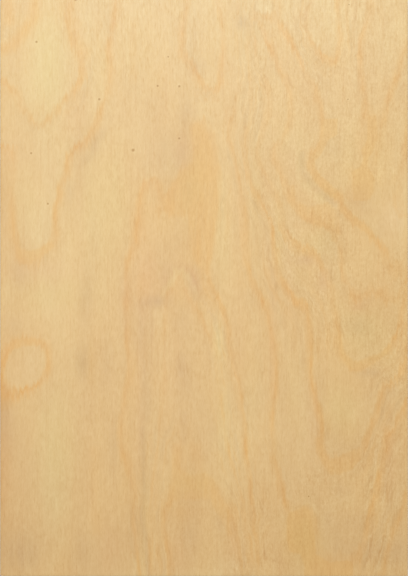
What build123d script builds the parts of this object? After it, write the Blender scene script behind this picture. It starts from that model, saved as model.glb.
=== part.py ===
from build123d import *
import os

# Birch plywood panel, an A3 sheet lying flat with its show face up. All sizes are in millimetres.
# X runs across the face grain and Y along it. The origin is the middle of the back, on the floor.

# Sheet as it is sold
sheet_width = 297.0
sheet_length = 420.0

# Build-up of veneers, each one turned a quarter from the one below
ply_count = 9
face_veneer = 1.1  # the show face and the back, sanded thinner after pressing
core_veneer = 1.4  # every veneer between them

# Finish of the sawn edges
edge_wear = 0.1  # a ply sands back this far where its grain runs along the edge
corner_radius = 0.6
arris_radius = 0.3


def is_outer(number):
    """The back is ply 0, and the show face is the last one."""
    return number in (0, ply_count - 1)


def grain_along_length(number):
    """The back's grain runs along the sheet, and so does every second ply's above it."""
    return number % 2 == 0


def make_sheet():
    """One pressed panel, whose plies show as fine steps in its sawn edges."""
    with BuildPart() as sheet:
        ply_base = 0.0
        for number in range(ply_count):
            veneer = face_veneer if is_outer(number) else core_veneer
            side_wear = edge_wear if grain_along_length(number) else 0.0
            end_wear = 0.0 if grain_along_length(number) else edge_wear
            with BuildSketch(Plane.XY.offset(ply_base)):
                RectangleRounded(
                    sheet_width - 2 * side_wear,
                    sheet_length - 2 * end_wear,
                    corner_radius,
                )
            extrude(amount=veneer)
            ply_base += veneer
        # The arrises round the back and the show face are eased
        back_face = sheet.faces().sort_by(Axis.Z)[0]
        show_face = sheet.faces().sort_by(Axis.Z)[-1]
        fillet(back_face.edges() + show_face.edges(), arris_radius)
    return sheet


os.makedirs("parts", exist_ok=True)

sheet = make_sheet()
sheet.part.label = "plywood_sheet"
export_step(sheet.part, "parts/plywood_sheet.step")
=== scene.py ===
import math

import bmesh
import bpy
import numpy as np
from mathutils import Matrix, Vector


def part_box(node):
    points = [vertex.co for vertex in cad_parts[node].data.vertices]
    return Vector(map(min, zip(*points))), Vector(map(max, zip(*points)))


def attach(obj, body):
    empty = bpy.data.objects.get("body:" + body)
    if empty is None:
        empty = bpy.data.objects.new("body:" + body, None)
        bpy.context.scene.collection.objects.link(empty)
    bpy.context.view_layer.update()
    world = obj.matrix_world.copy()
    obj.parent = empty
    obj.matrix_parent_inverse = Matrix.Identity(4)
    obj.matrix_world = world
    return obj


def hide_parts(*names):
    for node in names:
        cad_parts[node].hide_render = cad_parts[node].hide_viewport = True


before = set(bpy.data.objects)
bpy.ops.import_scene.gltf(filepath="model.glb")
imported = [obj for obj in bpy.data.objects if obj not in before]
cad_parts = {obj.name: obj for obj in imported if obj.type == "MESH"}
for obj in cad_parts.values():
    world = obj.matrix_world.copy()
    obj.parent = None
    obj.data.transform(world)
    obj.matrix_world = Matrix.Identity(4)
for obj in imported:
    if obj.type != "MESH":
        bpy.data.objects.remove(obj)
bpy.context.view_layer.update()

# A birch plywood sheet lying on its back, seen from straight above.
# X runs across the face grain and Y along it. Lengths are in millimetres unless a note says otherwise.

mm = 0.001
sheetLow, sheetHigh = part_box("plywood_sheet")
halfWidth = sheetHigh.x / mm
halfLength = sheetHigh.y / mm
thickness = sheetHigh.z / mm
sheetSize = [round(size, 1) for size in (2 * halfWidth, 2 * halfLength, thickness)]
print("frame loaded, sheet", sheetSize)


# Camera: straight down, framed so that the sheet fills the picture to its edges
cameraView = {
    "lens": 85,
    "sensor": 36,          # along the picture's long side
    "pictureWidth": 408,   # in pixels
    "pictureHeight": 576,
    "clipStart": 20,       # millimetres
}


def makeCamera():
    shown = 2 * halfWidth * cameraView["pictureHeight"] / cameraView["pictureWidth"]
    distance = shown * cameraView["lens"] / cameraView["sensor"]
    middle = shown / 2 - halfLength        # the lower end of the sheet meets the picture's lower edge
    bpy.ops.object.select_all(action="DESELECT")
    bpy.ops.object.camera_add(location=(0, middle * mm, (thickness + distance) * mm), rotation=(0, 0, 0))
    camera = bpy.context.object
    camera.name = "overhead_camera"
    camera.data.lens = cameraView["lens"]
    camera.data.sensor_width = cameraView["sensor"]
    camera.data.clip_start = cameraView["clipStart"] * mm
    bpy.context.scene.camera = camera
    print("camera", round(distance), "mm above the face")


# Light: one soft box beyond the sheet's upper end, which leaves a sheen there, one overhead, and a pale
# room round them
studioLight = {
    "boxes": {
        # place, the point it faces, width and depth, power in watts, and colour
        "window_box": ((-15, 500, 943), (0, 100, 0), (700, 400), 5.4, (0.76, 0.98, 1.0)),
        "overhead_box": ((-120, -18, 1100), (-120, -18, 0), (600, 600), 2.35, (1.0, 0.99, 0.97)),
    },
    "roomColour": (1.0, 0.995, 0.985),
    "roomStrength": 0.46,
    "floorSize": 6000,
    "floorColour": (0.84, 0.79, 0.78, 1),      # looks neutral under the bluish window box
    "floorRoughness": 0.8,
}


def makeLight():
    for name, (place, target, size, power, colour) in studioLight["boxes"].items():
        bpy.ops.object.light_add(type="AREA", location=Vector(place) * mm)
        box = bpy.context.object
        box.name = name
        facing = Vector(target) - Vector(place)
        box.rotation_euler = facing.to_track_quat("-Z", "Y").to_euler()
        box.data.shape = "RECTANGLE"
        box.data.size = size[0] * mm
        box.data.size_y = size[1] * mm
        box.data.energy = power
        box.data.color = colour

    world = bpy.data.worlds.new("pale_room")
    world.use_nodes = True
    room = world.node_tree.nodes["Background"]
    room.inputs["Color"].default_value = (*studioLight["roomColour"], 1)
    room.inputs["Strength"].default_value = studioLight["roomStrength"]
    bpy.context.scene.world = world
    bpy.context.scene.view_settings.view_transform = "Standard"
    print("light made")


# Small helpers for the materials: a source is a number or another node's socket
def newMaterial(name):
    material = bpy.data.materials.new(name)
    material.use_nodes = True
    return material, material.node_tree, material.node_tree.nodes["Principled BSDF"]


def feed(tree, source, socket):
    if isinstance(source, bpy.types.NodeSocket):
        tree.links.new(source, socket)
    else:
        socket.default_value = source


def maths(tree, operation, first, second=0.0, clamp=False):
    node = tree.nodes.new("ShaderNodeMath")
    node.operation = operation
    node.use_clamp = clamp
    feed(tree, first, node.inputs[0])
    feed(tree, second, node.inputs[1])
    return node.outputs[0]


def times(tree, first, second):
    return maths(tree, "MULTIPLY", first, second)


def plus(tree, first, second):
    return maths(tree, "ADD", first, second)


def less(tree, first, second, clamp=False):
    return maths(tree, "SUBTRACT", first, second, clamp)


def readAttribute(tree, name):
    node = tree.nodes.new("ShaderNodeAttribute")
    node.attribute_type = "GEOMETRY"
    node.attribute_name = name
    return node.outputs["Fac"]


def fade(tree, value, start, end, low=0.0, high=1.0):
    node = tree.nodes.new("ShaderNodeMapRange")
    node.interpolation_type = "SMOOTHSTEP"
    node.clamp = True
    feed(tree, value, node.inputs["Value"])
    feed(tree, start, node.inputs["From Min"])
    feed(tree, end, node.inputs["From Max"])
    feed(tree, low, node.inputs["To Min"])
    feed(tree, high, node.inputs["To Max"])
    return node.outputs[0]


def tintBy(tree, colour, amount, tint):
    node = tree.nodes.new("ShaderNodeMix")
    node.data_type = "RGBA"
    node.blend_type = "MULTIPLY"
    node.clamp_factor = False
    feed(tree, amount, node.inputs[0])
    feed(tree, colour, node.inputs[6])
    feed(tree, (*tint, 1), node.inputs[7])
    return node.outputs[2]


def vectorMaths(tree, operation, first, second):
    node = tree.nodes.new("ShaderNodeVectorMath")
    node.operation = operation
    feed(tree, first, node.inputs[0])
    feed(tree, second, node.inputs["Scale" if operation == "SCALE" else 1])
    return node.outputs[0]


def varyBy(tree, colour, noise, amount):
    # lightens and darkens the colour by the amount, as the noise lies over or under its middle
    share = times(tree, less(tree, noise, 0.5), amount)
    share = vectorMaths(tree, "SCALE", faceFinish["grainTint"], share)
    return vectorMaths(tree, "MULTIPLY", colour, vectorMaths(tree, "ADD", share, (1, 1, 1)))


def grainNoise(tree, place, size, detail=2.0, roughness=0.5, shift=0.0):
    # size is how far the wood stays alike across, along and through it
    mapping = tree.nodes.new("ShaderNodeMapping")
    mapping.inputs["Location"].default_value = (shift, shift / 2, -shift)
    mapping.inputs["Scale"].default_value = [1 / (length * mm) for length in size]
    feed(tree, place, mapping.inputs["Vector"])
    node = tree.nodes.new("ShaderNodeTexNoise")
    node.inputs["Scale"].default_value = 1
    node.inputs["Detail"].default_value = detail
    node.inputs["Roughness"].default_value = roughness
    feed(tree, mapping.outputs[0], node.inputs["Vector"])
    return node.outputs[0]


def bumpFrom(tree, height, strength, depth):
    node = tree.nodes.new("ShaderNodeBump")
    node.inputs["Strength"].default_value = strength
    node.inputs["Distance"].default_value = depth * mm
    feed(tree, height, node.inputs["Height"])
    return node.outputs[0]


# Ring lines of the show face, as the lathe cut through the year rings. Each is a number, which counts the
# rings outwards, and points along the dark latewood. A ring is palest just where its number begins.
ringLines = {
    "topLeftBay": (12, [
        (-95, 212), (-98, 206), (-100, 199), (-99, 191), (-97, 184), (-96, 178), (-93.5, 172),
        (-90.5, 167), (-89.5, 162), (-89, 156), (-90, 151), (-94, 146), (-96.5, 142), (-99.5, 138),
        (-102.5, 134), (-107, 130), (-111, 125), (-115, 121), (-120, 119), (-124, 120.5), (-128, 125),
        (-131, 128), (-133.5, 134), (-135.5, 141), (-139, 145), (-144, 148), (-151, 151),
    ]),
    "leftTongue": (11, [
        (-64, 212), (-65.5, 200), (-67, 188), (-69.5, 176), (-68.5, 166), (-68, 157), (-69.5, 148),
        (-71, 140), (-74.5, 131), (-77.5, 123), (-80, 116), (-84, 109.5), (-90, 103.5), (-97, 98),
        (-99.5, 91), (-100.5, 82), (-104.5, 75), (-105.5, 66), (-108, 57), (-108.5, 47), (-108.5, 38),
        (-112, 30), (-117, 26), (-120.5, 20.5), (-126, 17), (-132, 18.5), (-136, 25.5), (-137.3, 35),
        (-139, 46), (-140, 58), (-140, 70), (-138.5, 80), (-138, 92), (-140, 99.5), (-145, 101),
        (-151, 101),
    ]),
    "leftIsland": (11, [
        (-134, -38.5), (-128, -39), (-120, -40), (-115.5, -43), (-114, -50), (-113.5, -58),
        (-116.5, -64), (-120.5, -69.5), (-126.5, -74), (-134, -77.5), (-140, -79), (-145.5, -73),
        (-148, -66), (-148, -58), (-145, -50), (-140, -42), (-134, -38.5),
    ]),
    "topTongue": (11, [
        (-11.5, 212), (-12.5, 204), (-14.5, 193), (-15.8, 182), (-15.8, 173), (-13.5, 168), (-9, 163),
        (-6, 157), (-2.5, 151.5), (0, 147), (4, 144), (8, 144.5), (11, 148), (11.8, 156), (13, 166),
        (13.6, 178), (13.2, 190), (11.5, 201), (9, 212),
    ]),
    "flame": (10, [
        (-46.5, -212), (-48.5, -198), (-50, -184), (-51.5, -168), (-50.8, -154), (-52, -142),
        (-56, -131), (-59, -122), (-61, -111), (-61, -100), (-59, -88), (-57.5, -76), (-55, -64),
        (-55, -53), (-56, -40), (-56, -26), (-57, -10), (-56.5, 4), (-55.5, 17), (-53, 28), (-50, 36),
        (-48.8, 48), (-47.5, 60), (-45, 70), (-42.5, 77.5), (-37, 78.5), (-33, 74.5), (-30, 65),
        (-27.5, 57), (-25, 66), (-21, 76), (-16, 86), (-10.5, 93), (-9.5, 104), (-8.5, 117),
        (-5, 121.5), (0, 118), (5, 110), (8, 98), (9, 84), (9, 66), (8.5, 50), (6, 38), (4.5, 27),
        (3, 14), (3.5, 4), (7.5, -4), (12, -12), (15.5, -20), (18, -30), (20, -42), (22.5, -56),
        (26, -72), (28, -88), (29.8, -104), (30.5, -120), (32.8, -136), (34.5, -152), (36.5, -166),
        (37.2, -182), (38.5, -196), (40, -212),
    ]),
    "flameInside": (9, [
        (-39.5, -212), (-39, -196), (-39, -180), (-39.5, -163), (-37.5, -148), (-35.5, -126),
        (-33, -106), (-31, -88), (-29.8, -70), (-29.8, -50), (-29.5, -32), (-29, -16), (-26.5, -6),
        (-22.5, 1), (-17.5, 8), (-13.5, 1), (-10, -6), (-6.5, -13), (-2, -21), (2.5, -32), (7.5, -48),
        (11.5, -70), (14, -95), (18, -118), (22, -135), (27, -152), (31, -172), (34, -192), (36, -212),
    ]),
    "flameFoot": (8, [
        (-24, -212), (-24.5, -202), (-26, -192), (-28.5, -182), (-29, -172), (-28, -160),
        (-24.5, -152), (-21.5, -143), (-20.5, -130), (-20.5, -116), (-17, -119), (-14, -132),
        (-10, -139), (-4, -139.5), (1, -138), (6, -144), (11, -150.5), (15, -157), (20.5, -165),
        (23.5, -177), (25, -190), (28, -212),
    ]),
    "rightFirst": (11, [
        (24.5, 212), (25.5, 198), (24.8, 184), (25.2, 170), (26.5, 158), (26, 148), (24, 137),
        (21.5, 126), (19.2, 116), (19, 108), (21, 98), (24, 87), (26, 75), (28.5, 62), (30.2, 48),
        (31, 34), (32, 20), (34, 9), (38.5, -1), (43, -10), (47, -21), (50, -33), (51.8, -48),
        (52.3, -62), (51.5, -76), (49.8, -92), (49, -106), (50, -119), (53, -131), (56, -143),
        (58.5, -154), (62, -163), (67.5, -165), (74, -160), (78, -165), (81, -175), (82, -186),
        (84, -196), (90, -198), (98, -196.5), (106, -196.5), (111, -197), (114, -191), (117, -181),
        (120, -168), (123, -156), (126, -144), (128.5, -133), (131, -122), (134, -112), (138, -105),
        (141.5, -98), (144.5, -90), (147.5, -82), (151, -78),
    ]),
    "rightSecond": (12, [
        (30.5, 212), (30.8, 198), (31.5, 184), (32.3, 170), (33.2, 156), (34, 144), (33, 132),
        (30.5, 121), (29, 110), (30, 98), (33, 84), (37, 72), (42, 61), (47, 51), (50, 39), (52, 24),
        (54.5, 11), (59, 1), (66, -8), (73, -13.5), (76, -22), (78, -36), (77.5, -50), (78, -65),
        (81, -78), (84, -91), (86, -102), (85.2, -113), (88, -123), (93, -130), (97.5, -126.5),
        (104, -124.5), (110, -122), (116, -115), (120.5, -104), (125, -92), (128.5, -80), (131, -71.5),
        (137, -69), (141.5, -65), (145, -57), (151, -50),
    ]),
    "rightThird": (13, [
        (35.5, 195), (37, 180), (38.5, 165), (43.5, 153), (48, 142), (48.5, 132), (46.5, 121),
        (43, 112), (39.5, 103), (39.5, 94), (43, 84), (49, 74), (53, 64), (57, 53), (59, 42),
        (64.5, 35.5), (70.5, 30.5), (77, 27.5), (82, 22.5), (86, 16), (89, 9), (92, 1), (95, -12),
        (97.5, -27), (99, -42), (102.5, -52.5), (109, -58.5), (115.5, -57), (123, -53.5), (130, -50),
        (135.5, -44.5), (139.5, -35), (143, -23), (145, -10), (151, 2),
    ]),
    "rightRidge": (13, [
        (36.5, 206), (38, 196), (42, 188.5), (46, 180), (50, 170), (54.5, 160), (59, 150), (62, 140),
        (62.7, 129), (61, 118), (56.5, 108.5), (51, 101), (51, 93), (55.5, 82), (60, 70), (65.5, 60),
        (72, 52.5), (81, 47), (90, 44), (96, 38), (99, 26), (100.5, 12), (104, 1), (109, -7),
        (114.5, -7), (122, -2.5), (128, -4), (134, -9.5), (140, -7.5), (144.5, 0), (151, 8),
    ]),
    "rightInside": (13, [
        (52, 208), (54, 196), (60, 184), (67, 172), (73, 160), (80, 145), (85, 131), (86.5, 118),
        (85, 106), (80, 98), (78, 91.5), (81.5, 82), (88, 75), (97, 67), (103, 57), (109, 49),
        (117, 44), (123, 35), (131, 27), (135, 18), (139, 10.5), (143, 18), (147, 29), (151, 34),
    ]),
    "topHook": (14, [
        (81, 212), (78, 206), (74.5, 198), (74, 190), (77.5, 181), (83, 172), (88, 166.5), (94, 166),
        (97, 173), (98.5, 184), (97.8, 197), (97, 212),
    ]),
    "topRightPit": (13, [
        (121, 212), (120, 200), (116.5, 188), (114.5, 176), (113.5, 163), (115, 150), (117, 138),
        (117, 126), (114, 113), (112.5, 101), (111.5, 91), (107.5, 85), (106.5, 75), (107.5, 66),
        (114, 63), (120.5, 65), (122.5, 73), (123, 84), (125, 95), (127.5, 105), (129.5, 116),
        (132.5, 130), (136.5, 143), (141, 156), (144.5, 167), (151, 181),
    ]),
    "rightEdge": (13, [
        (151, 122), (147, 110), (145.5, 98), (143, 87), (141, 74), (139.5, 62), (142, 55), (151, 51),
    ]),
    "footRight": (10, [
        (151, -147), (146.5, -155), (143.5, -164), (138.5, -175), (135, -187), (132, -198), (130, -212),
    ]),
}

# How far through its ring the wood is at places between the lines: x, y and the number
ringPlaces = {
    "topLeftBay": [
        (-118, 200, 12.35), (-125, 175, 12.35), (-112, 165, 12.35), (-118, 140, 12.3),
        (-145, 195, 12.3), (-146, 162, 12.2),
    ],
    "leftTongue": [
        (-88, 205, 11.6), (-80, 190, 11.5), (-80, 165, 11.45), (-84, 145, 11.45), (-97, 125, 11.5),
        (-112, 108, 11.45), (-130, 112, 11.5), (-146, 125, 11.6), (-146, 110, 11.3), (-118, 85, 11.35),
        (-120, 45, 11.2), (-129, 70, 11.2), (-108, 95, 11.3), (-130, -58, 11.3),
    ],
    "leftOpenWood": [
        (-148, 75, 10.85), (-147, 40, 10.75), (-120, 8, 10.7), (-90, 88, 10.7), (-70, 115, 10.7),
        (-56, 160, 10.7), (-55, 200, 10.7), (-90, 60, 10.5), (-80, 30, 10.45), (-100, 0, 10.45),
        (-75, -20, 10.4), (-95, -60, 10.5), (-146, -5, 10.6), (-130, -25, 10.7), (-105, -50, 10.7),
        (-120, -90, 10.7), (-146, -95, 10.8), (-146, -130, 10.7), (-146, -170, 10.65),
        (-146, -207, 10.6), (-100, -100, 10.4), (-115, -130, 10.4), (-115, -170, 10.4),
        (-115, -207, 10.4), (-90, -150, 10.35), (-90, -207, 10.35), (-70, -160, 10.3),
        (-65, -207, 10.3), (-75, -90, 10.3), (-70, 60, 10.3),
    ],
    "roundTopTongue": [
        (-2, 200, 11.3), (0, 175, 11.3), (4, 156, 11.15), (-30, 205, 10.75), (-28, 175, 10.65),
        (18, 205, 10.9), (19, 170, 10.8), (-40, 180, 10.6), (-40, 130, 10.45), (-25, 110, 10.4),
        (-50, 100, 10.35), (-27, 75, 10.2), (0, 133, 10.4), (14, 130, 10.6), (14, 60, 10.35),
        (18, 20, 10.45), (15, 95, 10.4),
    ],
    "flame": [
        (-3, 107, 9.95), (3, 85, 9.95), (-8, 90, 9.95), (-15, 76, 9.94), (3, 60, 9.94), (2, 45, 9.93),
        (-12, 60, 9.85), (-37, 66, 9.85), (-25, 45, 9.75), (-4, 25, 9.8), (-40, 20, 9.65),
        (-25, 20, 9.6), (-16, 16, 9.35), (-43, -30, 9.6), (-44, -80, 9.55), (-46, -130, 9.5),
        (-44, -205, 9.5), (8, -20, 9.5), (18, -70, 9.45), (23, -110, 9.5), (28, -140, 9.5),
        (33, -170, 9.5), (37, -205, 9.5),
    ],
    "flameInside": [
        (-19, -25, 8.75), (-14, -60, 8.55), (-2, -70, 8.6), (-22, -100, 8.5), (2, -100, 8.45),
        (-5, -122, 8.25), (12, -125, 8.4), (-33, -160, 8.45), (-32, -205, 8.5), (27, -165, 8.5),
        (30, -205, 8.5), (-15, -146, 7.93), (-4, -147, 7.94), (5, -152, 7.94), (-12, -165, 7.8),
        (2, -172, 7.7), (15, -170, 7.85), (0, -205, 7.5), (-15, -190, 7.65), (20, -200, 7.7),
    ],
    "rightOfFlame": [
        (38, -60, 10.5), (42, -120, 10.5), (45, -165, 10.45), (50, -205, 10.5), (58, -180, 10.75),
        (60, -205, 10.75), (27, 10, 10.6), (33, -20, 10.5), (68, -172, 10.95), (72, -185, 10.95),
        (72, -205, 10.95), (78, -195, 10.96), (95, -206, 10.93), (112, -206, 10.85), (125, -190, 10.5),
        (131, -165, 10.5), (137, -135, 10.5), (146, -110, 10.6), (147, -135, 10.35), (145, -185, 9.8),
        (138, -207, 9.85),
    ],
    "rightBays": [
        (62, -110, 11.5), (66, -60, 11.5), (60, -20, 11.5), (75, -140, 11.45), (90, -165, 11.35),
        (98, -183, 11.2), (105, -150, 11.5), (120, -130, 11.5), (134, -85, 11.6), (88, -50, 12.5),
        (86, -20, 12.45), (90, -100, 12.35), (105, -90, 12.4), (120, -75, 12.6), (100, -115, 12.2),
        (145, -35, 12.5), (54, 140, 13.25), (53, 120, 13.2), (45, 98, 13.15), (57, 68, 13.2),
        (66, 42, 13.2), (86, 33, 13.25), (97, 8, 13.2), (104, -25, 13.3), (120, -28, 13.35),
        (135, -25, 13.3), (41, 175, 13.1), (148, -2, 13.15),
    ],
    "rightRidge": [
        (47, 185, 12.85), (54, 180, 12.8), (60, 170, 12.75), (68, 152, 12.7), (74, 130, 12.7),
        (70, 108, 12.7), (63, 93, 12.75), (72, 72, 12.75), (88, 58, 12.7), (100, 42, 12.7),
        (110, 28, 12.65), (120, 12, 12.7), (130, 10, 12.8), (137, 1, 12.9), (148, 22, 12.9),
    ],
    "topRight": [
        (46, 206, 13.25), (66, 205, 13.35), (68, 188, 13.3), (86, 195, 14.3), (88, 180, 14.25),
        (84, 160, 13.6), (107, 200, 13.5), (107, 170, 13.45), (104, 140, 13.4), (98, 120, 13.35),
        (100, 95, 13.35), (95, 82, 13.2), (125, 58, 13.25), (135, 42, 13.35), (133, 80, 13.35),
        (108, 60, 13.2), (140, 135, 13.35), (147, 150, 13.3), (136, 110, 13.35), (135, 200, 12.75),
        (127, 170, 12.75), (122, 140, 12.85), (122, 118, 12.95), (119, 100, 12.96), (118, 90, 12.97),
        (115, 76, 12.9), (113, 84, 12.93), (119, 72, 12.93), (148, 95, 12.85), (147, 70, 12.85),
    ],
}

# How strongly each ring line shows near the places along it: x, y and the strength, 0 for not at all
ringStrengths = {
    "topLeftBay": [
        (-95, 200, 0.85), (-92, 165, 0.85), (-112, 125, 0.62), (-132, 130, 0.6), (-146, 150, 0.6),
    ],
    "leftTongue": [
        (-66, 195, 0.7), (-68, 158, 0.6), (-78, 122, 0.75), (-95, 98, 0.95), (-104, 70, 0.9),
        (-108, 45, 0.85), (-118, 27, 0.7), (-130, 20, 0.5), (-138, 45, 0.65), (-140, 66, 0.55),
        (-140, 84, 0.3), (-141, 100, 0.7),
    ],
    "leftIsland": [
        (-130, -39, 0.9), (-115, -46, 0.6), (-115, -58, 0.7), (-125, -73, 1.1), (-146, -60, 1.2),
    ],
    "topTongue": [
        (-13, 200, 0.75), (-15, 175, 1.0), (-6, 157, 0.75), (4, 144, 0.75), (13, 165, 0.6),
        (12, 195, 0.55),
    ],
    "flame": [
        (-47, -205, 0.55), (-51, -170, 0.42), (-56, -130, 0.5), (-61, -105, 0.4), (-56, -72, 0.4),
        (-56, -35, 0.65), (-56, 0, 0.65), (-52, 30, 0.7), (-48, 50, 0.7), (-40, 78, 0.6), (-30, 65, 0.6),
        (-20, 78, 0.5), (-10, 100, 0.1), (-4, 121, 0.4), (7, 108, 0.5), (9, 80, 0.55), (7, 40, 0.5),
        (3, 12, 0.45), (12, -14, 0.6), (21, -46, 0.5), (27, -85, 0.65), (30, -112, 0.8), (34, -150, 0.75),
        (37, -175, 0.8), (38, -197, 0.5),
    ],
    "flameInside": [
        (-39, -172, 0.05), (-36, -130, 0.1), (-32, -100, 0.17), (-30, -60, 0.25), (-27, -14, 0.15),
        (-28, -30, 0.35), (-17, 0, 0.3), (-8, -13, 0.3), (3, -35, 0.25), (10, -65, 0.1), (16, -105, 0.03),
        (24, -145, 0.1), (31, -175, 0.22), (35, -205, 0.25),
    ],
    "flameFoot": [
        (-27, -195, 0.65), (-29, -172, 0.75), (-21, -140, 0.15), (-18, -118, 0.15), (-6, -139, 0.1),
        (9, -148, 0.3), (20, -165, 0.32), (25, -190, 0.4),
    ],
    "rightFirst": [
        (25, 200, 0.12), (25, 165, 0.12), (23, 130, 0.2), (20, 108, 0.55), (22, 92, 0.6), (27, 65, 0.5),
        (31, 35, 0.55), (38, 0, 0.65), (48, -22, 0.7), (52, -50, 0.72), (51, -80, 0.72), (50, -115, 0.55),
        (54, -132, 0.5), (58, -152, 0.8), (67, -163, 0.3), (78, -168, 0.35), (82, -190, 0.2),
        (98, -197, 0.2), (114, -190, 0.45), (121, -165, 0.65), (129, -130, 0.85), (136, -107, 0.75),
        (147, -82, 0.72),
    ],
    "rightSecond": [
        (31, 195, 0.12), (33, 160, 0.12), (32, 125, 0.2), (29, 108, 0.45), (33, 84, 0.5), (42, 61, 0.6),
        (50, 38, 0.7), (56, 6, 0.8), (70, -11, 1.0), (78, -26, 0.95), (78, -40, 1.1), (78, -58, 1.25),
        (80, -75, 0.9), (86, -102, 0.65), (88, -122, 0.5), (98, -128, 0.3), (112, -120, 0.5),
        (121, -102, 0.75), (129, -77, 0.55), (141, -66, 0.65),
    ],
    "rightThird": [
        (36, 190, 0.12), (40, 160, 0.14), (48, 135, 0.25), (44, 113, 0.28), (40, 96, 0.28), (48, 75, 0.4),
        (58, 50, 0.35), (63, 36, 0.6), (70, 30, 0.8), (83, 22, 0.6), (95, -5, 0.35), (98, -24, 0.3),
        (98, -40, 0.7), (109, -57, 0.15), (125, -53, 0.15), (138, -38, 0.7), (144, -15, 0.45),
    ],
    "rightRidge": [
        (38, 196, 0.5), (48, 174, 0.72), (58, 152, 0.6), (62, 130, 0.45), (52, 103, 0.4), (54, 86, 0.45),
        (66, 60, 0.5), (80, 47, 0.5), (92, 43, 0.45), (99, 28, 0.5), (102, 6, 0.5), (112, -7, 0.5),
        (122, -3, 0.5), (134, -9, 0.5), (146, 2, 0.55),
    ],
    "rightInside": [
        (54, 196, 0.6), (66, 174, 0.8), (78, 150, 0.5), (86, 125, 0.6), (84, 104, 0.6), (79, 91, 0.6),
        (88, 75, 0.85), (98, 66, 1.0), (106, 53, 0.95), (118, 44, 0.85), (127, 30, 0.8), (137, 13, 0.45),
        (147, 29, 0.15),
    ],
    "topHook": [
        (75, 193, 0.65), (88, 167, 0.75), (97, 180, 0.65),
    ],
    "topRightPit": [
        (119, 195, 0.55), (113, 172, 0.65), (115, 148, 0.75), (117, 130, 0.7), (115, 115, 0.2),
        (112, 95, 0.1), (107, 79, 0.3), (114, 63, 0.12), (123, 80, 0.2), (127, 103, 0.3), (131, 128, 0.5),
        (136, 146, 0.85), (145, 167, 0.45),
    ],
    "rightEdge": [
        (142, 74, 0.3), (146, 100, 0.28), (149, 118, 0.25),
    ],
    "footRight": [
        (147, -154, 0.5), (138, -178, 0.6), (132, -200, 0.6),
    ],
}

# How strongly the fine flecks of the grain show near each place
fleckStrengths = [
    (-118, 180, 0.5), (-118, 60, 0.55), (-130, -58, 0.55), (-80, 190, 0.9), (-60, 120, 0.85),
    (-90, 30, 0.75), (-110, -10, 0.5), (-75, -40, 0.8), (-130, -20, 0.7), (-112, -120, 0.6),
    (-80, -120, 0.9), (-120, -190, 0.95), (-60, -180, 0.95), (-30, 150, 0.9), (0, 180, 0.8),
    (-25, 110, 1.0), (0, 90, 0.7), (-30, 40, 0.9), (-15, -40, 0.9), (-20, -110, 0.85), (10, -90, 0.6),
    (0, -180, 1.05), (40, 150, 1.1), (20, 60, 0.75), (45, 60, 1.1), (35, -20, 0.9), (40, -100, 0.9),
    (60, -60, 1.0), (60, -190, 1.1), (70, 180, 1.1), (95, 110, 1.3), (60, 100, 1.15), (90, 30, 1.35),
    (110, -20, 1.2), (95, -70, 0.95), (115, -90, 1.0), (100, -150, 1.15), (90, -205, 0.9),
    (135, -130, 1.15), (140, -190, 1.1), (130, 170, 1.2), (130, 100, 1.2), (138, 48, 0.6),
    (147, 20, 1.2), (140, -40, 1.2), (20, 200, 1.0), (100, 200, 1.1),
]

# Broad latewood, where the lathe ran along a ring for a while: soft edge, strength and outline. The ring
# lines cut it off sharply where it runs past them.
latewoodPatches = {
    "flameTop": (5, 0.9, [
        (-9, 118), (-5, 123), (-1, 120), (4, 111), (8, 100), (9, 90), (10, 76), (0, 74), (-12, 76),
        (-23, 73), (-19, 84), (-9, 92),
    ]),
    "flameSide": (7, 0.75, [
        (-24, 80), (-8, 84), (10, 84), (10, 60), (9, 45), (8, 28), (5, 8), (-7, 8), (-10, 38),
        (-13, 50), (-20, 50), (-30, 55), (-32, 72),
    ]),
    "topTongueSide": (4, 0.5, [
        (-11, 159), (-4, 163), (-2, 154), (-7, 151),
    ]),
    "islandFoot": (6, 0.6, [
        (-150, -70), (-145, -74), (-136, -77), (-134, -82), (-141, -90), (-151, -92),
    ]),
    "leftRidge": (6, 0.5, [
        (-151, 101), (-142, 100), (-139, 92), (-140, 70), (-143, 62), (-151, 60),
    ]),
    "insideUpper": (5, 0.35, [
        (79, 86), (88, 79), (98, 70), (101, 61), (95, 61), (88, 65), (80, 73), (76, 84),
    ]),
    "thirdBend": (5, 0.6, [
        (63, 40), (73, 35), (80, 32), (87, 26), (93, 13), (88, 8), (81, 18), (74, 22), (66, 26),
        (61, 35),
    ]),
    "firstBend": (5, 0.42, [
        (34, 10), (41, 2), (48, -10), (51, -26), (45, -28), (40, -14), (32, 0),
    ]),
}
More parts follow.
